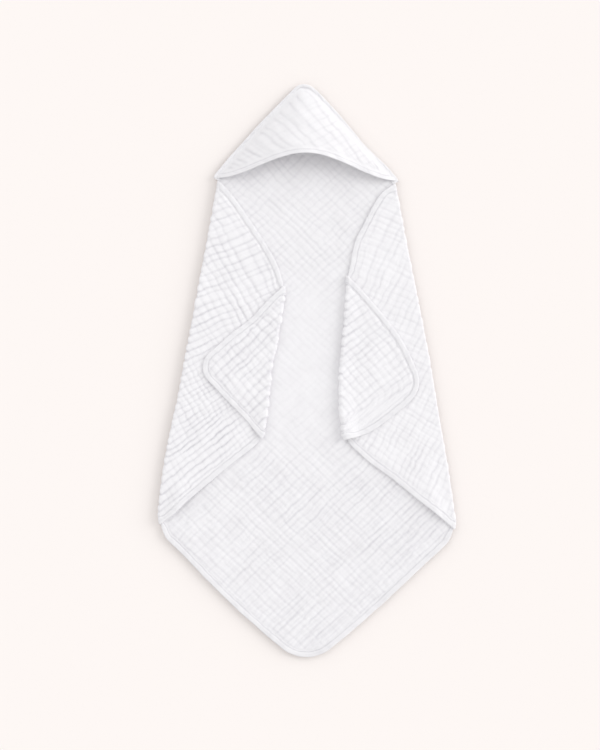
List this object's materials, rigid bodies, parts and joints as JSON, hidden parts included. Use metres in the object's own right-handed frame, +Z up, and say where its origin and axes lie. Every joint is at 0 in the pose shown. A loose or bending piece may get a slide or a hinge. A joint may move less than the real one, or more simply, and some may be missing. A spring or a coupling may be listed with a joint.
{
  "type": "hooded baby towel",
  "caption": "Square baby towel of puffed muslin with a bound edge and a corner hood, side corners folded in over the body and their tips turned back.",
  "frame": {"origin": "middle of the folded towel's outline, on the surface it lies on", "axes": "+Y towards the point of the hood, +X to the right as seen from above, +Z up from the surface"},
  "size_m": [0.5842, 1.1121, 0.0499],
  "materials": {
    "towel_muslin": "crinkled soft cotton muslin, matt",
    "binding_muslin": "smooth folded cotton gauze tape, matt",
    "stitching_thread": "fine cotton sewing thread, matt"
  },
  "bodies": {
    "main": {"main_panel": "towel_muslin", "bottom_binding": "binding_muslin", "bottom_stitching": "stitching_thread"},
    "hood": {"hood_back_panel": "towel_muslin", "hood_panel": "towel_muslin", "hood_edge_binding": "binding_muslin", "hood_edge_stitching": "stitching_thread", "hood_front_binding": "binding_muslin", "hood_front_stitching": "stitching_thread"},
    "left_flap": {"left_flap_panel": "towel_muslin", "left_flap_upper_binding": "binding_muslin", "left_flap_upper_stitching": "stitching_thread", "left_flap_lower_binding": "binding_muslin", "left_flap_lower_stitching": "stitching_thread"},
    "left_tip": {"left_tip_panel": "towel_muslin", "left_tip_binding": "binding_muslin", "left_tip_stitching": "stitching_thread"},
    "right_flap": {"right_flap_panel": "towel_muslin", "right_flap_upper_binding": "binding_muslin", "right_flap_upper_stitching": "stitching_thread", "right_flap_lower_binding": "binding_muslin", "right_flap_lower_stitching": "stitching_thread"},
    "right_tip": {"right_tip_panel": "towel_muslin", "right_tip_binding": "binding_muslin", "right_tip_stitching": "stitching_thread"}
  },
  "joints": [
    {"name": "hood_fold", "type": "hinge", "parent": "main", "child": "hood", "pos_m": [0, 0.371, 0.00425], "axis": [0.9999, -0.016, 0], "range_deg": [0, 70]},
    {"name": "left_flap_fold", "type": "hinge", "parent": "main", "child": "left_flap", "pos_m": [-0.174, 0.37379, 0.00425], "axis": [-0.1738, -0.9848, 0], "range_deg": [0, 180]},
    {"name": "left_tip_fold", "type": "hinge", "parent": "left_flap", "child": "left_tip", "pos_m": [-0.0442, 0.1665, 0.00875], "axis": [0.1299, 0.9915, 0], "range_deg": [0, 180]},
    {"name": "right_flap_fold", "type": "hinge", "parent": "main", "child": "right_flap", "pos_m": [0.174, 0.36821, 0.00425], "axis": [-0.1731, 0.9849, 0], "range_deg": [0, 180]},
    {"name": "right_tip_fold", "type": "hinge", "parent": "right_flap", "child": "right_tip", "pos_m": [0.0777, 0.1872, 0.00875], "axis": [-0.0482, -0.9988, 0], "range_deg": [0, 180]}
  ],
  "couplings": [
    {"joint": "left_tip_fold", "follows": "left_flap_fold", "ratio": 1},
    {"joint": "right_tip_fold", "follows": "right_flap_fold", "ratio": 1}
  ]
}
